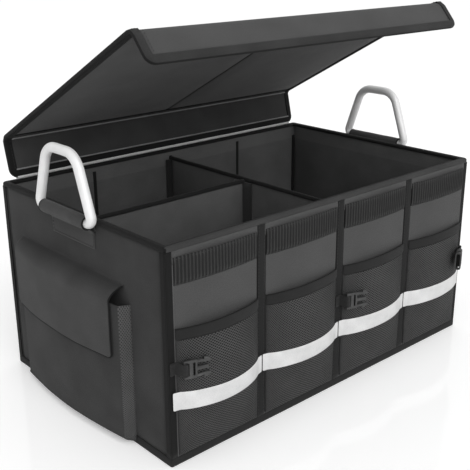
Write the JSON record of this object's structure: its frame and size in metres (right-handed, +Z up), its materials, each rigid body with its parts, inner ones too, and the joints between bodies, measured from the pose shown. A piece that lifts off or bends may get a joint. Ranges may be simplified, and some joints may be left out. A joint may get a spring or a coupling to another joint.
{
  "type": "car trunk organizer",
  "caption": "Padded fabric trunk organizer box with front mesh pockets, a side pocket with a flap, removable dividers, swinging carry handles and a hinged folding lid.",
  "frame": {"origin": "middle of the underside of the floor panel", "axes": "+X to the right along the front with the four pockets, +Y to the back wall with the lid's hinge line, +Z up"},
  "size_m": [0.6503, 0.4247, 0.5263],
  "materials": {
    "outer_fabric": "matt woven polyester over padding",
    "pocket_fabric": "smooth woven polyester",
    "lining": "matt lining",
    "binding": "ribbed binding tape",
    "elastic": "ribbed elastic",
    "mesh": "fine netting",
    "reflective": "silver reflective tape",
    "handle_metal": "satin tube",
    "buckle_plastic": "moulded, satin",
    "board": "fabric-covered stiff board"
  },
  "bodies": {
    "organizer_box": {"floor_panel": "outer_fabric", "front_wall": "outer_fabric", "back_wall": "outer_fabric", "left_wall": "outer_fabric", "right_wall": "outer_fabric", "base_board_left": "board", "base_board_right": "board", "rim_binding_front": "binding", "rim_binding_back": "binding", "rim_binding_left": "binding", "rim_binding_right": "binding", "corner_binding_front_left": "binding", "corner_binding_back_left": "binding", "corner_binding_front_right": "binding", "corner_binding_back_right": "binding", "bottom_binding": "binding", "seam_tape_1": "binding", "seam_tape_2": "binding", "seam_tape_3": "binding", "front_pocket_1": "pocket_fabric", "front_pocket_2": "pocket_fabric", "front_pocket_3": "pocket_fabric", "front_pocket_4": "pocket_fabric", "elastic_band_1": "elastic", "elastic_band_2": "elastic", "elastic_band_3": "elastic", "elastic_band_4": "elastic", "mesh_pocket_1": "mesh", "mesh_pocket_2": "mesh", "mesh_pocket_3": "mesh", "mesh_pocket_4": "mesh", "mesh_hem_1": "binding", "mesh_hem_2": "binding", "mesh_hem_3": "binding", "mesh_hem_4": "binding", "reflective_tape_1": "reflective", "reflective_tape_2": "reflective", "reflective_tape_3": "reflective", "reflective_tape_4": "reflective", "webbing_tab_left": "binding", "webbing_tab_middle": "binding", "webbing_tab_right": "binding", "side_pocket": "mesh", "side_pocket_flap": "outer_fabric", "handle_sleeve_left": "outer_fabric", "handle_sleeve_right": "outer_fabric", "long_divider": "lining", "cross_divider": "lining"},
    "lid": {"lid_rear_skirt": "lining", "lid_panel_left": "lining", "lid_panel_right": "lining", "lid_front_skirt": "pocket_fabric", "lid_fold_strip": "binding", "lid_binding_left": "binding", "lid_binding_right": "binding"},
    "left_handle": {"handle_left": "handle_metal"},
    "right_handle": {"handle_right": "handle_metal"},
    "left_plug": {"buckle_plug_left": "buckle_plastic"},
    "middle_plug": {"buckle_plug_middle": "buckle_plastic"},
    "socket": {"buckle_socket": "buckle_plastic"}
  },
  "joints": [
    {"name": "lid_hinge", "type": "hinge", "parent": "organizer_box", "child": "lid", "pos_m": [0, 0.185, 0.2936], "axis": [-1, 0, 0], "range_deg": [-30.7, 75.2]},
    {"name": "left_handle_hinge", "type": "hinge", "parent": "organizer_box", "child": "left_handle", "pos_m": [-0.3113, 0.002, 0.2875], "axis": [0, -1, 0], "range_deg": [-8, 155]},
    {"name": "right_handle_hinge", "type": "hinge", "parent": "organizer_box", "child": "right_handle", "pos_m": [0.3113, 0.002, 0.2875], "axis": [0, 1, 0], "range_deg": [-8, 170]},
    {"name": "left_plug_swing", "type": "hinge", "parent": "organizer_box", "child": "left_plug", "pos_m": [-0.286, -0.204, 0.136], "axis": [0, 0, -1], "range_deg": [-1, 80]},
    {"name": "middle_plug_swing", "type": "hinge", "parent": "organizer_box", "child": "middle_plug", "pos_m": [0.0077, -0.203, 0.136], "axis": [0, 0, -1], "range_deg": [-3, 80]},
    {"name": "socket_swing", "type": "hinge", "parent": "organizer_box", "child": "socket", "pos_m": [0.2827, -0.203, 0.136], "axis": [0, 0, 1], "range_deg": [-3, 60]}
  ]
}
